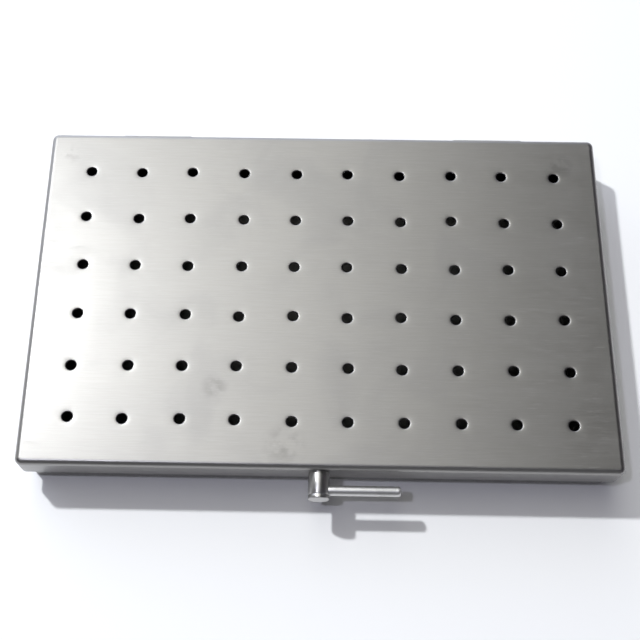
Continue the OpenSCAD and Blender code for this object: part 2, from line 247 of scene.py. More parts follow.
def make_edge_wear():
    """Mask of rubbed edges: where the surface turns within the given reach."""
    tree, given, result = new_group(
        "edge_wear",
        "ShaderNodeTree",
        [
            ("Position", "NodeSocketVector", None),
            ("Breakup mm", "NodeSocketFloat", 2.0),
        ],
        [("Wear", "NodeSocketFloat")],
    )
    rounded = put(tree, "ShaderNodeBevel", {"Radius": 0.35 * MM}, samples=4)
    true_face = put(tree, "ShaderNodeNewGeometry")
    agree = put(
        tree,
        "ShaderNodeVectorMath",
        {0: rounded.outputs["Normal"], 1: true_face.outputs["Normal"]},
        operation="DOT_PRODUCT",
    )
    turn = maths(tree, "SUBTRACT", 1.0, agree.outputs["Value"])
    edge = ramp(tree, turn, 0.02, 0.22)
    breakup = put(
        tree,
        "ShaderNodeTexNoise",
        {
            "Vector": given.outputs["Position"],
            "Scale": maths(tree, "DIVIDE", 1000.0, given.outputs["Breakup mm"]),
            "Detail": 3.0,
        },
    )
    patchy = ramp(tree, breakup.outputs["Fac"], 0.38, 0.62, 0.25, 1.0)
    tree.links.new(maths(tree, "MULTIPLY", edge, patchy), result.inputs["Wear"])
    return tree


SHEET_GRAIN = make_sheet_grain()
HANDLING_MARKS = make_handling_marks()
EDGE_WEAR = make_edge_wear()


def use_group(tree, group, inputs):
    """Places a shared effect in a material with its own values."""
    return put(tree, "ShaderNodeGroup", inputs, node_tree=group)


# Finishes


def new_finish(name):
    """A material with an empty Principled BSDF, its tree, its shader and its coordinates."""
    material = bpy.data.materials.new(name)
    material.use_nodes = True
    tree = material.node_tree
    shader = tree.nodes["Principled BSDF"]
    place = tree.nodes.new("ShaderNodeTexCoord")
    return material, tree, shader, place


def bump(tree, height, distance, below=None, strength=1.0):
    """Normal output of a Bump node, on top of another one if given."""
    node = put(tree, "ShaderNodeBump", {"Height": height, "Distance": distance, "Strength": strength})
    if below is not None:
        tree.links.new(below, node.inputs["Normal"])
    return node.outputs["Normal"]


def stains(tree, position, spots):
    """Mask of cloudy stains round the given spots: x, y and reach in millimetres on the lid's top."""
    near = None
    for x, y, reach in spots:
        away = put(tree, "ShaderNodeVectorMath", {0: position}, operation="DISTANCE")
        away.inputs[1].default_value = (x * MM, y * MM, LID_TOP)
        spot = ramp(tree, away.outputs["Value"], 0.2 * reach * MM, reach * MM, 1.0, 0.0)
        near = spot if near is None else maths(tree, "MAXIMUM", near, spot)
    cloud = put(tree, "ShaderNodeTexNoise", {"Vector": position, "Scale": 210.0, "Detail": 4.0})
    return maths(tree, "MULTIPLY", near, ramp(tree, cloud.outputs["Fac"], 0.38, 0.62))


def make_sheet_finish(name, pale, deep, roughness, spread, buckle, scratch_share, spots=()):
    """Satin sheet steel: rolling grain, buckling, smudges, stains, scratches and rubbed edges."""
    material, tree, shader, place = new_finish(name)
    position = place.outputs["Object"]
    grain = use_group(tree, SHEET_GRAIN, {"Position": position, "Normal": place.outputs["Normal"]})
    marks = use_group(tree, HANDLING_MARKS, {"Position": position, "Scratch share": scratch_share})
    wear = use_group(tree, EDGE_WEAR, {"Position": position})
    streak = grain.outputs["Streak"]
    smudge = marks.outputs["Smudge"]
    scratch = marks.outputs["Scratch"]
    colour = blend_colour(tree, ramp(tree, streak, 0.3, 0.7), deep, pale)
    darker = [0.86 * c for c in deep[:3]] + [1.0]
    colour = blend_colour(tree, maths(tree, "MULTIPLY", smudge, 0.35), colour, darker)
    if spots:
        stain = stains(tree, position, spots)
        darkest = [0.62 * c for c in deep[:3]] + [1.0]
        colour = blend_colour(tree, maths(tree, "MULTIPLY", stain, 0.55), colour, darkest)
    lighter = [min(1.0, 1.12 * c) for c in pale[:3]] + [1.0]
    rubbed = maths(tree, "MAXIMUM", scratch, maths(tree, "MULTIPLY", wear.outputs["Wear"], 0.6))
    colour = blend_colour(tree, maths(tree, "MULTIPLY", rubbed, 0.6), colour, lighter)
    tree.links.new(colour, shader.inputs["Base Color"])
    shader.inputs["Metallic"].default_value = 1.0
    rough = ramp(tree, streak, 0.25, 0.75, roughness - spread, roughness + spread)
    rough = maths(tree, "ADD", rough, ramp(tree, grain.outputs["Band"], 0.3, 0.7, -spread, spread))
    rough = maths(tree, "ADD", rough, maths(tree, "MULTIPLY", smudge, 0.045))
    rough = maths(tree, "ADD", rough, maths(tree, "MULTIPLY", scratch, 0.1))
    tree.links.new(rough, shader.inputs["Roughness"])
    swell = put(tree, "ShaderNodeTexNoise", {"Vector": position, "Scale": 17.0, "Detail": 1.0})
    normal = bump(tree, swell.outputs["Fac"], buckle)
    normal = bump(tree, streak, 0.004 * MM, normal)
    normal = bump(tree, scratch, -0.004 * MM, normal)
    tree.links.new(normal, shader.inputs["Normal"])
    return material


def make_turned_finish(name, pale, deep, roughness, stretch):
    """Turned steel: fine rings round the axis, which stretch a highlight along it."""
    material, tree, shader, place = new_finish(name)
    position = place.outputs["Object"]
    marks = use_group(
        tree,
        HANDLING_MARKS,
        {"Position": position, "Smudge size mm": 7.0, "Scratch length mm": 2.6, "Scratch share": 0.35},
    )
    wear = use_group(tree, EDGE_WEAR, {"Position": position, "Breakup mm": 0.8})
    around = put(tree, "ShaderNodeUVMap", uv_map="turning")
    spread = put(tree, "ShaderNodeMapping", {"Vector": around.outputs[0], "Scale": (3600.0, 3.0, 1.0)})
    rings = put(tree, "ShaderNodeTexNoise", {"Vector": spread.outputs[0], "Scale": 1.0, "Detail": 2.0})
    colour = blend_colour(tree, marks.outputs["Smudge"], pale, deep)
    worn = maths(tree, "MULTIPLY", wear.outputs["Wear"], 0.7)
    rubbed = [min(1.0, 1.15 * c) for c in pale[:3]] + [1.0]
    colour = blend_colour(tree, worn, colour, rubbed)
    tree.links.new(colour, shader.inputs["Base Color"])
    shader.inputs["Metallic"].default_value = 1.0
    rough = ramp(tree, rings.outputs["Fac"], 0.3, 0.7, roughness - 0.05, roughness + 0.05)
    rough = maths(tree, "ADD", rough, maths(tree, "MULTIPLY", marks.outputs["Smudge"], 0.04))
    tree.links.new(rough, shader.inputs["Roughness"])
    normal = bump(tree, rings.outputs["Fac"], 0.004 * MM)
    normal = bump(tree, marks.outputs["Scratch"], -0.003 * MM, normal)
    tree.links.new(normal, shader.inputs["Normal"])
    if stretch > 0.0:
        shader.inputs["Anisotropic"].default_value = stretch
        lie = put(tree, "ShaderNodeTangent", direction_type="UV_MAP", uv_map="turning")
        tree.links.new(lie.outputs[0], shader.inputs["Tangent"])
    return material


def make_silicone_finish():
    """Moulded silicone: matt blue grey, faint cloudiness, fine grain and paler rubbed edges."""
    material, tree, shader, place = new_finish("moulded_silicone")
    position = place.outputs["Object"]
    wear = use_group(tree, EDGE_WEAR, {"Position": position, "Breakup mm": 1.4})
    cloud = put(tree, "ShaderNodeTexNoise", {"Vector": position, "Scale": 90.0, "Detail": 4.0})
    grain = put(tree, "ShaderNodeTexNoise", {"Vector": position, "Scale": 2600.0, "Detail": 2.0})
    cloudy = ramp(tree, cloud.outputs["Fac"], 0.3, 0.7)
    colour = blend_colour(tree, cloudy, (0.115, 0.215, 0.30, 1.0), (0.15, 0.26, 0.35, 1.0))
    worn = maths(tree, "MULTIPLY", wear.outputs["Wear"], 0.35)
    colour = blend_colour(tree, worn, colour, (0.27, 0.37, 0.45, 1.0))
    tree.links.new(colour, shader.inputs["Base Color"])
    tree.links.new(ramp(tree, cloud.outputs["Fac"], 0.3, 0.7, 0.5, 0.62), shader.inputs["Roughness"])
    shader.inputs["Specular IOR Level"].default_value = 0.4
    tree.links.new(bump(tree, grain.outputs["Fac"], 0.01 * MM), shader.inputs["Normal"])
    return material


LID_STAINS = ((-12.0, -56.0, 9.0), (-94.5, 55.0, 5.0), (-36.0, -36.0, 6.0), (88.0, 52.0, 7.0))
LID_PALE = (0.332, 0.325, 0.317, 1.0)
LID_DEEP = (0.315, 0.308, 0.300, 1.0)
# Painted shade: the tray's satin steel is set darker than the lid's same steel, so that the strip of
# tray wall under the lid's skirt reads darker.
TRAY_SHADED_PALE = (0.31, 0.304, 0.296, 1.0)
TRAY_SHADED_DEEP = (0.285, 0.279, 0.271, 1.0)
HINGE_PALE = (0.36, 0.352, 0.342, 1.0)
HINGE_DEEP = (0.32, 0.312, 0.302, 1.0)
RAIL_PALE = (0.38, 0.372, 0.362, 1.0)
RAIL_DEEP = (0.34, 0.333, 0.323, 1.0)

LID_FINISH = make_sheet_finish(
    "satin_lid_steel", LID_PALE, LID_DEEP, 0.36, 0.01, 0.07 * MM, 0.48, LID_STAINS
)
TRAY_SHADED_FINISH = make_sheet_finish(
    "satin_tray_steel_painted_shade", TRAY_SHADED_PALE, TRAY_SHADED_DEEP, 0.46, 0.02, 0.10 * MM, 0.5
)
HINGE_FINISH = make_sheet_finish(
    "stamped_hinge_steel", HINGE_PALE, HINGE_DEEP, 0.42, 0.03, 0.02 * MM, 0.6
)
RAIL_FINISH = make_sheet_finish(
    "folded_rail_steel", RAIL_PALE, RAIL_DEEP, 0.40, 0.025, 0.02 * MM, 0.4
)
BARREL_FINISH = make_turned_finish(
    "turned_barrel_steel", (0.48, 0.475, 0.465, 1.0), (0.42, 0.415, 0.405, 1.0), 0.32, 0.0
)
# Painted highlight: the lever's turned steel is set much paler than the barrel's same steel, so that
# the highlight along the lever reads brighter.
LEVER_PAINTED_HIGHLIGHT_FINISH = make_turned_finish(
    "turned_lever_steel_painted_highlight", (0.70, 0.695, 0.685, 1.0), (0.62, 0.615, 0.605, 1.0), 0.50, 0.55
)
FITTING_FINISH = make_turned_finish(
    "turned_fitting_steel", (0.44, 0.435, 0.425, 1.0), (0.38, 0.375, 0.365, 1.0), 0.36, 0.0
)
SILICONE_FINISH = make_silicone_finish()


# Mesh helpers


def link_mesh(name, mesh):
    """An object in the scene for a mesh."""
    thing = bpy.data.objects.new(name, mesh)
    bpy.context.scene.collection.objects.link(thing)
    return thing


def applied(thing):
    """Plain mesh of an object with its modifiers; the object is removed."""
    bpy.context.view_layer.update()
    graph = bpy.context.evaluated_depsgraph_get()
    mesh = bpy.data.meshes.new_from_object(thing.evaluated_get(graph))
    bpy.data.objects.remove(thing)
    return mesh


def tidied(mesh, crease=38.0):
    """Merges doubled points, turns the faces outwards and keeps only real edges sharp."""
    shape = bmesh.new()
    shape.from_mesh(mesh)
    bmesh.ops.remove_doubles(shape, verts=shape.verts, dist=0.002 * MM)
    bmesh.ops.recalc_face_normals(shape, faces=shape.faces)
    shape.to_mesh(mesh)
    shape.free()
    mesh.polygons.foreach_set("use_smooth", [True] * len(mesh.polygons))
    mesh.set_sharp_from_angle(angle=math.radians(crease))
    return mesh


def finished(name, mesh, finish, slot, body, *nodes):
    """Makes a mesh one piece of the cassette: its finish, its body and the nodes it stands for."""
    mesh.materials.clear()
    mesh.materials.append(finish)
    piece = link_mesh(name, mesh)
    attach(piece, body)
    if nodes:
        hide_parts(*nodes)
    return piece


def quarter(centre, radius, start, end, steps):
    """Points of a short arc round a centre, from one angle to another in degrees."""
    points = []
    for i in range(steps + 1):
        angle = math.radians(start + (end - start) * i / steps)
        points.append((centre[0] + radius * math.cos(angle), centre[1] + radius * math.sin(angle)))
    return points


# Folded and perforated pans


def wall_section(depth, bend, corner):
    """Outline of a folded wall: outside from the plate to the rim, then inside back.

    Points are (distance outwards from the corners' centres, depth below the plate's outer face).
    """
    centre = (corner - bend, bend)
    inside = corner - SHEET
    outline = [(0.0, 0.0)]
    if corner - bend > 0.3 * MM:
        outline.append((corner - bend - 0.15 * MM, 0.0))
    outline += quarter(centre, bend, -90.0, 0.0, 8)
    outline += [(corner, bend + 0.2 * MM), (corner, 0.5 * depth)]
    outline += quarter((corner - DEBURR, depth - DEBURR), DEBURR, 0.0, 90.0, 3)
    outline += quarter((inside + DEBURR, depth - DEBURR), DEBURR, 90.0, 180.0, 3)
    outline += [(inside, 0.5 * depth), (inside, bend + 0.2 * MM)]
    outline += quarter(centre, bend - SHEET, 0.0, -90.0, 5)
    outline.append((0.0, SHEET))
    return outline


def side_points(count, half):
    """Coordinates along a side: the cells' grid lines, and the corners' centres at both ends."""
    steps = count * CELL_STEPS
    grid = [(i / steps - 0.5) * count * PITCH for i in range(steps + 1)]
    return [-half] + grid + [half]


def round_the_pan(xs, ys, arc_steps=7):
    """Stations round the pan: a point on the corners' rectangle and the direction outwards."""
    stations = []
    for side in range(4):
        run = ys if side % 2 == 0 else xs
        out = xs[-1] if side % 2 == 0 else ys[-1]
        turn = Matrix.Rotation(math.radians(90.0 * side), 2)
        for s in run:
            stations.append((turn @ Vector((out, s)), turn @ Vector((1.0, 0.0))))
        for i in range(1, arc_steps):
            swing = Matrix.Rotation(math.radians(90.0 * (side + i / arc_steps)), 2)
            stations.append((turn @ Vector((out, run[-1])), swing @ Vector((1.0, 0.0))))
    return stations


def pan_rim(width, depth, height, bend, corner, level):
    """Walls, bends and plate margin of a pan. level turns a depth below its plate into Z."""
    xs = side_points(COLUMNS, width / 2 - corner)
    ys = side_points(ROWS, depth / 2 - corner)
    shape = bmesh.new()
    rings = []
    for point, outwards in round_the_pan(xs, ys):
        ring = []
        for out, down in wall_section(height, bend, corner):
            spot = point + outwards * out
            ring.append(shape.verts.new((spot.x, spot.y, level(down))))
        rings.append(ring)
    for ring, after in zip(rings, rings[1:] + rings[:1]):
        for i in range(len(ring) - 1):
            shape.faces.new((ring[i], after[i], after[i + 1], ring[i + 1]))
    for down in (0.0, SHEET):
        for left, right in zip(xs, xs[1:]):
            for near, far in zip(ys, ys[1:]):
                in_columns = left > xs[0] and right < xs[-1]
                in_rows = near > ys[0] and far < ys[-1]
                if in_columns and in_rows:
                    continue
                corners = ((left, near), (right, near), (right, far), (left, far))
                shape.faces.new([shape.verts.new((x, y, level(down))) for x, y in corners])
    bmesh.ops.remove_doubles(shape, verts=shape.verts, dist=0.001 * MM)
    mesh = bpy.data.meshes.new("pan_rim")
    shape.to_mesh(mesh)
    shape.free()
    return mesh


def cell_rings(roll, dish):
    """Rings of one perforated cell: (share of the way from square to circle, radius, depth)."""
    wide = HOLE_R + roll + 1.1 * MM
    lip = HOLE_R + roll
    rings = [(0.0, wide, 0.0), (0.4, wide, 0.0), (0.75, wide, 0.0), (1.0, wide, 0.0)]
    rings += [(1.0, lip + 0.55 * MM, dish * 0.25), (1.0, lip + 0.2 * MM, dish * 0.6)]
    rings += [(1.0, r, d) for r, d in quarter((lip, dish + roll), roll, -90.0, -180.0, 5)]
    burr = 0.08 * MM
    rings += [(1.0, r, d) for r, d in quarter((HOLE_R + burr, SHEET - burr), burr, 180.0, 90.0, 2)]
    rings += [(1.0, HOLE_R + 0.4 * MM, SHEET), (1.0, wide, SHEET)]
    rings += [(0.6, wide, SHEET), (0.0, wide, SHEET)]
    return rings


def hole_cell(name, roll, dish, level):
    """One square of sheet with its hole, from face to face. The attribute give is 1 at the hole."""
    square = []
    circle = []
    for side in range(4):
        turn = Matrix.Rotation(math.radians(90.0 * side), 2)
        for i in range(CELL_STEPS):
            t = 2.0 * i / CELL_STEPS - 1.0
            square.append(turn @ Vector((PITCH / 2, t * PITCH / 2)))
            angle = math.radians(90.0 * side + 45.0 * t)
            circle.append(Vector((math.cos(angle), math.sin(angle))))
    shape = bmesh.new()
    give = shape.verts.layers.float.new("give")
    rows = []
    for share, radius, down in cell_rings(roll, dish):
        row = []
        for on_square, on_circle in zip(square, circle):
            spot = on_square.lerp(on_circle * radius, share)
            corner = shape.verts.new((spot.x, spot.y, level(down)))
            corner[give] = share
            row.append(corner)
        rows.append(row)
    for row, after in zip(rows, rows[1:]):
        for i in range(len(row)):
            k = (i + 1) % len(row)
            shape.faces.new((row[i], row[k], after[k], after[i]))
    mesh = bpy.data.meshes.new(name)
    shape.to_mesh(mesh)
    shape.free()
    return link_mesh(name, mesh)


def make_perforator():
    """Geometry nodes that lay perforated cells on a grid and join them to a pan's rim."""
    tree, given, result = new_group(
        "perforated_sheet",
        "GeometryNodeTree",
        [
            ("Rim", "NodeSocketGeometry", None),
            ("Cell", "NodeSocketObject", None),
            ("Columns", "NodeSocketInt", COLUMNS),
            ("Rows", "NodeSocketInt", ROWS),
            ("Pitch", "NodeSocketFloat", PITCH),
            ("Drift", "NodeSocketFloat", 0.0),
            ("Seed", "NodeSocketInt", 1),
            ("Finish", "NodeSocketMaterial", None),
        ],
        [("Sheet", "NodeSocketGeometry")],
    )
    gaps_x = maths(tree, "SUBTRACT", given.outputs["Columns"], 1.0)
    gaps_y = maths(tree, "SUBTRACT", given.outputs["Rows"], 1.0)
    size_x = maths(tree, "MULTIPLY", gaps_x, given.outputs["Pitch"])
    size_y = maths(tree, "MULTIPLY", gaps_y, given.outputs["Pitch"])
    grid = put(
        tree,
        "GeometryNodeMeshGrid",
        {
            "Size X": size_x,
            "Size Y": size_y,
            "Vertices X": given.outputs["Columns"],
            "Vertices Y": given.outputs["Rows"],
        },
    )
    spread = put(tree, "ShaderNodeCombineXYZ", {0: given.outputs["Drift"], 1: given.outputs["Drift"]})
    back = put(tree, "ShaderNodeVectorMath", {0: spread.outputs[0], "Scale": -1.0}, operation="SCALE")
    chance = put(tree, "FunctionNodeRandomValue", data_type="FLOAT_VECTOR")
    tree.links.new(back.outputs[0], chance.inputs[0])
    tree.links.new(spread.outputs[0], chance.inputs[1])
    tree.links.new(given.outputs["Seed"], chance.inputs["Seed"])
    marked = put(
        tree,
        "GeometryNodeStoreNamedAttribute",
        {"Geometry": grid.outputs["Mesh"], "Name": "drift"},
        data_type="FLOAT_VECTOR",
        domain="POINT",
    )
    tree.links.new(chance.outputs[0], marked.inputs["Value"])
    cell = put(tree, "GeometryNodeObjectInfo", {"Object": given.outputs["Cell"]})
    laid = put(
        tree,
        "GeometryNodeInstanceOnPoints",
        {"Points": marked.outputs[0], "Instance": cell.outputs["Geometry"]},
    )
    real = put(tree, "GeometryNodeRealizeInstances", {"Geometry": laid.outputs[0]})
    drift = put(tree, "GeometryNodeInputNamedAttribute", {"Name": "drift"}, data_type="FLOAT_VECTOR")
    give = put(tree, "GeometryNodeInputNamedAttribute", {"Name": "give"}, data_type="FLOAT")
    offset = put(tree, "ShaderNodeVectorMath", {0: drift.outputs[0]}, operation="SCALE")
    tree.links.new(give.outputs[0], offset.inputs["Scale"])
    moved = put(
        tree, "GeometryNodeSetPosition", {"Geometry": real.outputs[0], "Offset": offset.outputs[0]}
    )
    together = put(tree, "GeometryNodeJoinGeometry")
    tree.links.new(moved.outputs[0], together.inputs[0])
    tree.links.new(given.outputs["Rim"], together.inputs[0])
    merged = put(
        tree, "GeometryNodeMergeByDistance", {"Geometry": together.outputs[0], "Distance": 0.002 * MM}
    )
    whole = put(tree, "GeometryNodeRealizeInstances", {"Geometry": merged.outputs[0]})
    painted = put(
        tree,
        "GeometryNodeSetMaterial",
        {"Geometry": whole.outputs[0], "Material": given.outputs["Finish"]},
    )
    tree.links.new(painted.outputs[0], result.inputs["Sheet"])
    return tree


def set_inputs(modifier, values):
    """Sets a geometry modifier's inputs by their sockets' identifiers."""
    for item in modifier.node_group.interface.items_tree:
        if item.item_type == "SOCKET" and item.in_out == "INPUT" and item.name in values:
            modifier[item.identifier] = values[item.name]


PERFORATOR = make_perforator()


def cut_by(thing, cutter):
    """Adds an exact cut to an object's modifiers."""
    step = thing.modifiers.new("cut", "BOOLEAN")
    step.operation = "DIFFERENCE"
    step.solver = "EXACT"
    step.object = cutter
    cutter.hide_render = True


def perforated_pan(name, rim, cell, drift, seed, finish, cutter):
    """Plain mesh of a perforated pan: rim and cells joined, then cut for the latch."""
    thing = link_mesh(name, rim)
    laying = thing.modifiers.new("perforation", "NODES")
    laying.node_group = PERFORATOR
    set_inputs(
        laying,
        {
            "Cell": cell,
            "Columns": COLUMNS,
            "Rows": ROWS,
            "Pitch": PITCH,
            "Drift": drift,
            "Seed": seed,
            "Finish": finish,
        },
    )
    cut_by(thing, cutter)
    mesh = applied(thing)
    bpy.data.objects.remove(cell)
    bpy.data.objects.remove(cutter)
    return tidied(mesh)


# Turned parts


def spun(outline, steps, place):
    """Closed solid turned from (radius, along) points between two poles on its axis."""
    shape = bmesh.new()
    rings = []
    walked = [0.0]
    for (r0, a0), (r1, a1) in zip(outline, outline[1:]):
        walked.append(walked[-1] + math.hypot(r1 - r0, a1 - a0))
    for radius, along in outline:
        if radius < 1e-9:
            rings.append([shape.verts.new(place @ Vector((0.0, 0.0, along)))])
            continue
        ring = []
        for i in range(steps):
            angle = 2.0 * math.pi * i / steps
            spot = Vector((radius * math.cos(angle), radius * math.sin(angle), along))
            ring.append(shape.verts.new(place @ spot))
        rings.append(ring)
    turning = shape.loops.layers.uv.new("turning")
    for j, (ring, after) in enumerate(zip(rings, rings[1:])):
        u, w = walked[j], walked[j + 1]
        for i in range(steps):
            k = (i + 1) % steps
            v, x = i / steps, (i + 1) / steps
            if len(ring) == 1:
                face = shape.faces.new((ring[0], after[i], after[k]))
                spots = ((u, 0.5 * (v + x)), (w, v), (w, x))
            elif len(after) == 1:
                face = shape.faces.new((ring[i], after[0], ring[k]))
                spots = ((u, v), (w, 0.5 * (v + x)), (u, x))
            else:
                face = shape.faces.new((ring[i], after[i], after[k], ring[k]))
                spots = ((u, v), (w, v), (w, x), (u, x))
            for loop, spot in zip(face.loops, spots):
                loop[turning].uv = spot
    bmesh.ops.recalc_face_normals(shape, faces=shape.faces)
    mesh = bpy.data.meshes.new("turned")
    shape.to_mesh(mesh)
    shape.free()
    return mesh


AT_LATCH = Matrix.Translation((0.0, SKIRT_Y, LATCH_Z)) @ Matrix.Rotation(math.radians(90.0), 4, "X")
ALONG_LEVER = Matrix.Rotation(math.radians(90.0), 4, "Y")


def latch_cutter(radius, open_top):
    """Cutter for the latch's passage through the front wall, open to the rim if asked."""
    reach = 12.0 * MM
    if not open_top:
        outline = [(0.0, -reach), (radius, -reach), (radius, reach), (0.0, reach)]
        return link_mesh("latch_cutter", spun(outline, 64, AT_LATCH))
    shape = bmesh.new()
    steps = 32
    outline = [(radius, 20.0 * MM)]
    for i in range(steps + 1):
        angle = math.pi * i / steps
        outline.append((radius * math.cos(angle), -radius * math.sin(angle)))
    outline.append((-radius, 20.0 * MM))
    low = [shape.verts.new((x, SKIRT_Y - reach, LATCH_Z + z)) for x, z in outline]
    high = [shape.verts.new((x, SKIRT_Y + reach, LATCH_Z + z)) for x, z in outline]
    shape.faces.new(low)
    shape.faces.new(reversed(high))
    for i in range(len(low)):
        k = (i + 1) % len(low)
        shape.faces.new((low[i], high[i], high[k], low[k]))
    bmesh.ops.recalc_face_normals(shape, faces=shape.faces)
    mesh = bpy.data.meshes.new("latch_cutter")
    shape.to_mesh(mesh)
    shape.free()
    return link_mesh("latch_cutter", mesh)


# The pieces


def make_lid():
    """The lid: folded pan turned upside down, rolled hole edges, bush hole in its skirt."""
    low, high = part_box("lid")
    top = high.z

    def level(down):
        return top - down

    rim = pan_rim(high.x - low.x, high.y - low.y, top - low.z, LID_BEND, LID_CORNER, level)
    cell = hole_cell("lid_cell", 0.35 * MM, 0.05 * MM, level)
    cutter = latch_cutter(BUSH_HOLE_R, False)
    mesh = perforated_pan("lid_raw", rim, cell, 0.35 * MM, 4, LID_FINISH, cutter)
    finished("lid_sheet", mesh, LID_FINISH, "lid_steel", "lid", "lid")


def make_tray():
    """The tray: folded pan with a perforated floor and an open notch for the latch."""
    low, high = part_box("base_tray")

    def level(down):
        return low.z + down

    rim = pan_rim(high.x - low.x, high.y - low.y, high.z - low.z, TRAY_BEND, TRAY_CORNER, level)
    cell = hole_cell("tray_cell", 0.15 * MM, 0.0, level)
    cutter = latch_cutter(NOTCH_R, True)
    mesh = perforated_pan("tray_raw", rim, cell, 0.25 * MM, 9, TRAY_SHADED_FINISH, cutter)
    finished("tray_sheet", mesh, TRAY_SHADED_FINISH, "tray_steel", "tray", "base_tray")


def make_barrel():
    """The latch barrel with its groove, rounded edge, spindle and the lever's seat."""
    edge = 0.35 * MM
    outline = [(0.0, -SPINDLE_IN), (SPINDLE_R, -SPINDLE_IN), (SPINDLE_R, BARREL_FROM)]
    outline += quarter((BARREL_R - DEBURR, BARREL_FROM + DEBURR), DEBURR, -90.0, 0.0, 3)
    groove = ((-0.17, 0.0), (-0.13, 0.02), (-0.03, 0.14), (0.03, 0.14), (0.13, 0.02), (0.17, 0.0))
    for out, deep in groove:
        outline.append((BARREL_R - deep * MM, BARREL_GROOVE + out * MM))
    outline += quarter((BARREL_R - edge, BARREL_OUT - edge), edge, 0.0, 90.0, 5)
    outline += [(1.2 * MM, BARREL_OUT), (0.0, BARREL_OUT)]
    thing = link_mesh("barrel_raw", spun(outline, 96, AT_LATCH))
    seat = [(0.0, LEVER_SEAT), (LEVER_R + 0.02 * MM, LEVER_SEAT), (LEVER_R + 0.02 * MM, 6.0 * MM)]
    seat.append((0.0, 6.0 * MM))
    place = AT_LATCH @ Matrix.Translation((0.0, 0.0, LEVER_OUT)) @ ALONG_LEVER
    cutter = link_mesh("lever_seat", spun(seat, 48, place))
    cut_by(thing, cutter)
    mesh = tidied(applied(thing), 30.0)
    bpy.data.objects.remove(cutter)
    finished("barrel_turned", mesh, BARREL_FINISH, "latch_steel", "latch", "latch_barrel")


def make_lever():
    """The lever bar: rounded tip, fine groove near it, seat inside the barrel."""
    tip = LEVER_TIP
    groove_at = LEVER_REACH - LEVER_GROOVE_IN
    outline = [(0.0, LEVER_SEAT), (LEVER_R - 0.1 * MM, LEVER_SEAT), (LEVER_R, LEVER_SEAT + 0.1 * MM)]
    outline += [(LEVER_R, BARREL_R + 1.0 * MM), (LEVER_R, groove_at - 0.2 * MM)]
    outline += quarter((LEVER_R + 0.03 * MM, groove_at), 0.15 * MM, -104.0, -256.0, 6)
    outline += [(LEVER_R, groove_at + 0.2 * MM)]
    outline += quarter((LEVER_R - tip, LEVER_REACH - tip), tip, 0.0, 90.0, 8)
    outline.append((0.0, LEVER_REACH))
    place = AT_LATCH @ Matrix.Translation((0.0, 0.0, LEVER_OUT)) @ ALONG_LEVER
    mesh = tidied(spun(outline, 64, place), 50.0)
    finished("lever_turned", mesh, LEVER_PAINTED_HIGHLIGHT_FINISH, "latch_steel", "latch", "latch_lever")


FINISH_OF_SLOT = {
    "lid_steel": LID_FINISH,
    "tray_steel": TRAY_SHADED_FINISH,
    "hinge_steel": HINGE_FINISH,
    "latch_steel": FITTING_FINISH,
    "rail_steel": RAIL_FINISH,
    "silicone": SILICONE_FINISH,
}


def softened(node, width, segments, name, body, slot):
    """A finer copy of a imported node, with its sharp edges rounded, that stands for it."""
    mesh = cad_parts[node].data.copy()
    shape = bmesh.new()
    shape.from_mesh(mesh)
    bmesh.ops.remove_doubles(shape, verts=shape.verts, dist=0.001 * MM)
    bmesh.ops.recalc_face_normals(shape, faces=shape.faces)
    bmesh.ops.dissolve_limit(
        shape, angle_limit=math.radians(0.5), verts=shape.verts, edges=shape.edges
    )
    plain = bpy.data.meshes.new(name)
    shape.to_mesh(plain)
    shape.free()
    bpy.data.meshes.remove(mesh)
    split = plain.attributes.get("custom_normal")
    if split is not None:
        plain.attributes.remove(split)
    plain.polygons.foreach_set("use_smooth", [True] * len(plain.polygons))
    thing = link_mesh(name, plain)
    rounding = thing.modifiers.new("rounding", "BEVEL")
    rounding.width = width
    rounding.segments = segments
    rounding.limit_method = "ANGLE"
    rounding.angle_limit = math.radians(35.0)
    rounding.harden_normals = False
    weighing = thing.modifiers.new("weighing", "WEIGHTED_NORMAL")
    weighing.weight = 80
    weighing.keep_sharp = False
    return finished(name, applied(thing), FINISH_OF_SLOT[slot], slot, body, node)


def dress_small_pieces():
    """Rounds the edges of the stamped, folded and moulded pieces, and finishes the others."""
    for side in ("left", "right"):
        softened("hinge_leaf_lid_" + side, 0.15 * MM, 2, "lid_leaf_" + side, "lid", "hinge_steel")
        softened("hinge_leaf_tray_" + side, 0.15 * MM, 2, "tray_leaf_" + side, "tray", "hinge_steel")
        softened("instrument_rail_" + side, 0.12 * MM, 2, "rail_channel_" + side, "tray", "rail_steel")
        softened("rail_insert_" + side, 0.35 * MM, 3, "notched_strip_" + side, "tray", "silicone")
        softened("hold_down_bar_" + side, 0.12 * MM, 2, "bar_channel_" + side, "lid", "rail_steel")
        softened("hold_down_pad_" + side, 0.3 * MM, 3, "scalloped_strip_" + side, "lid", "silicone")
    softened("latch_keeper", 0.12 * MM, 2, "keeper_angle", "tray", "hinge_steel")
    softened("latch_cam", 0.12 * MM, 2, "cam_finger", "latch", "hinge_steel")
    shown = {
        "hinge_pin_left": FITTING_FINISH,
        "hinge_pin_right": FITTING_FINISH,
        "latch_bush": FITTING_FINISH,
        "latch_spring_washer": FITTING_FINISH,
        "latch_screw": FITTING_FINISH,
    }
    for node, finish in shown.items():
        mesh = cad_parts[node].data
        for i in range(len(mesh.materials)):
            mesh.materials[i] = finish


make_lid()
make_tray()
make_barrel()
make_lever()
dress_small_pieces()


# Floor, light and surroundings

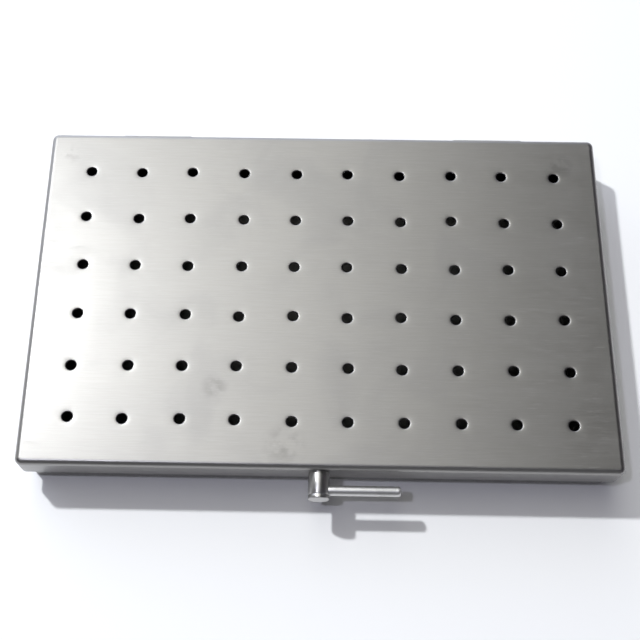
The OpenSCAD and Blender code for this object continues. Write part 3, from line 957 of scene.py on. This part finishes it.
TABLE = (0.93, 0.93, 0.935, 1.0)
WINDOW_POWER = 13.4
GLEAM_SHARE = 0.52
CEILING_POWER = 1.45
WINDOW = (-0.614, 0.484, 1.135)
WINDOW_COLOUR = (0.965, 0.99, 1.015)
ABOVE_LEFT = (0.06, 0.06, 0.06, 1.0)
ABOVE_MIDDLE = (2.10, 2.10, 2.0, 1.0)
ABOVE_RIGHT = (0.01, 0.01, 0.01, 1.0)
BACK_LEFT = (2.2, 2.4, 2.8, 1.0)
BACK_RIGHT = (0.2, 0.2, 0.26, 1.0)
SIDE_LEFT = (0.5, 0.5, 0.5, 1.0)
SIDE_RIGHT = (0.12, 0.11, 0.12, 1.0)
IN_FRONT = (0.072, 0.07, 0.088, 1.0)
FRONT_LOW = (0.19, 0.19, 0.2, 1.0)


FLOOR_HALF = 20.0
FADE_FROM = 0.45
FADE_TO = 1.2
WINDOW_SIZE = 0.07
CEILING = (-0.318, -0.206, 1.06)
CEILING_SIZE = 0.05
CEILING_COLOUR = (0.92, 0.93, 1.12)
MIDDLE = (0.0, 0.0, 0.0)


def add_floor():
    """White table that keeps the shadow near the cassette and fades to plain white far away."""
    half = FLOOR_HALF
    mesh = bpy.data.meshes.new("table")
    corners = [(-half, -half, 0.0), (half, -half, 0.0), (half, half, 0.0), (-half, half, 0.0)]
    mesh.from_pydata(corners, [], [(0, 1, 2, 3)])
    floor = link_mesh("table", mesh)
    material = bpy.data.materials.new("white_table")
    material.use_nodes = True
    tree = material.node_tree
    shader = tree.nodes["Principled BSDF"]
    shader.inputs["Base Color"].default_value = TABLE
    shader.inputs["Roughness"].default_value = 0.55
    shader.inputs["Specular IOR Level"].default_value = 0.2
    place = tree.nodes.new("ShaderNodeTexCoord")
    away = put(tree, "ShaderNodeVectorMath", {0: place.outputs["Object"]}, operation="LENGTH")
    far = ramp(tree, away.outputs["Value"], FADE_FROM, FADE_TO)
    path = tree.nodes.new("ShaderNodeLightPath")
    seen = maths(tree, "MAXIMUM", path.outputs["Is Camera Ray"], path.outputs["Is Glossy Ray"])
    seen = maths(tree, "MAXIMUM", seen, path.outputs["Is Transmission Ray"])
    white = put(tree, "ShaderNodeEmission", {"Color": (1.0, 1.0, 1.0, 1.0), "Strength": 1.0})
    mix = put(tree, "ShaderNodeMixShader", {0: maths(tree, "MULTIPLY", far, seen)})
    tree.links.new(shader.outputs[0], mix.inputs[1])
    tree.links.new(white.outputs[0], mix.inputs[2])
    tree.links.new(mix.outputs[0], tree.nodes["Material Output"].inputs["Surface"])
    mesh.materials.append(material)


def add_lamp(name, place, target, size, power, colour, gleams=True):
    """A round area lamp that looks at a point, mirrored in the metal if it gleams."""
    data = bpy.data.lights.new(name, "AREA")
    data.shape = "DISK"
    data.size = size
    data.energy = power
    data.color = colour
    lamp = bpy.data.objects.new(name, data)
    lamp.location = place
    lamp.visible_glossy = gleams
    lamp.rotation_euler = (Vector(target) - Vector(place)).to_track_quat("-Z", "Y").to_euler()
    bpy.context.scene.collection.objects.link(lamp)


def add_room():
    """Plain surroundings: brightest overhead and at the back left, dark at the right and in front."""
    world = bpy.data.worlds.new("room")
    bpy.context.scene.world = world
    world.use_nodes = True
    tree = world.node_tree
    place = tree.nodes.new("ShaderNodeTexCoord")
    part = put(tree, "ShaderNodeSeparateXYZ", {0: place.outputs["Generated"]})
    above = blend_colour(tree, ramp(tree, part.outputs["X"], -0.48, -0.14), ABOVE_LEFT, ABOVE_MIDDLE)
    above = blend_colour(tree, ramp(tree, part.outputs["X"], -0.06, 0.24), above, ABOVE_RIGHT)
    side = blend_colour(tree, ramp(tree, part.outputs["X"], -0.5, 0.5), SIDE_LEFT, SIDE_RIGHT)
    back = blend_colour(tree, ramp(tree, part.outputs["X"], -0.3, 0.4), BACK_LEFT, BACK_RIGHT)
    low = blend_colour(tree, ramp(tree, part.outputs["Y"], 0.3, 0.7), side, back)
    colour = blend_colour(tree, ramp(tree, part.outputs["Z"], 0.35, 0.75), low, above)
    forwards = maths(tree, "MULTIPLY", part.outputs["Y"], -1.0)
    colour = blend_colour(tree, ramp(tree, forwards, -0.12, 0.3), colour, IN_FRONT)
    colour = blend_colour(tree, ramp(tree, forwards, 0.45, 0.65), colour, FRONT_LOW)
    background = tree.nodes["Background"]
    tree.links.new(colour, background.inputs["Color"])
    background.inputs["Strength"].default_value = 1.0


add_floor()

mirrored = WINDOW_POWER * GLEAM_SHARE
veiled = WINDOW_POWER * (1.0 - GLEAM_SHARE)
add_lamp("window", WINDOW, MIDDLE, WINDOW_SIZE, mirrored, WINDOW_COLOUR)
add_lamp("window_veiled", WINDOW, MIDDLE, WINDOW_SIZE, veiled, WINDOW_COLOUR, False)
add_lamp("ceiling", CEILING, MIDDLE, CEILING_SIZE, CEILING_POWER, CEILING_COLOUR)
add_room()

bpy.context.scene.view_settings.view_transform = "Standard"
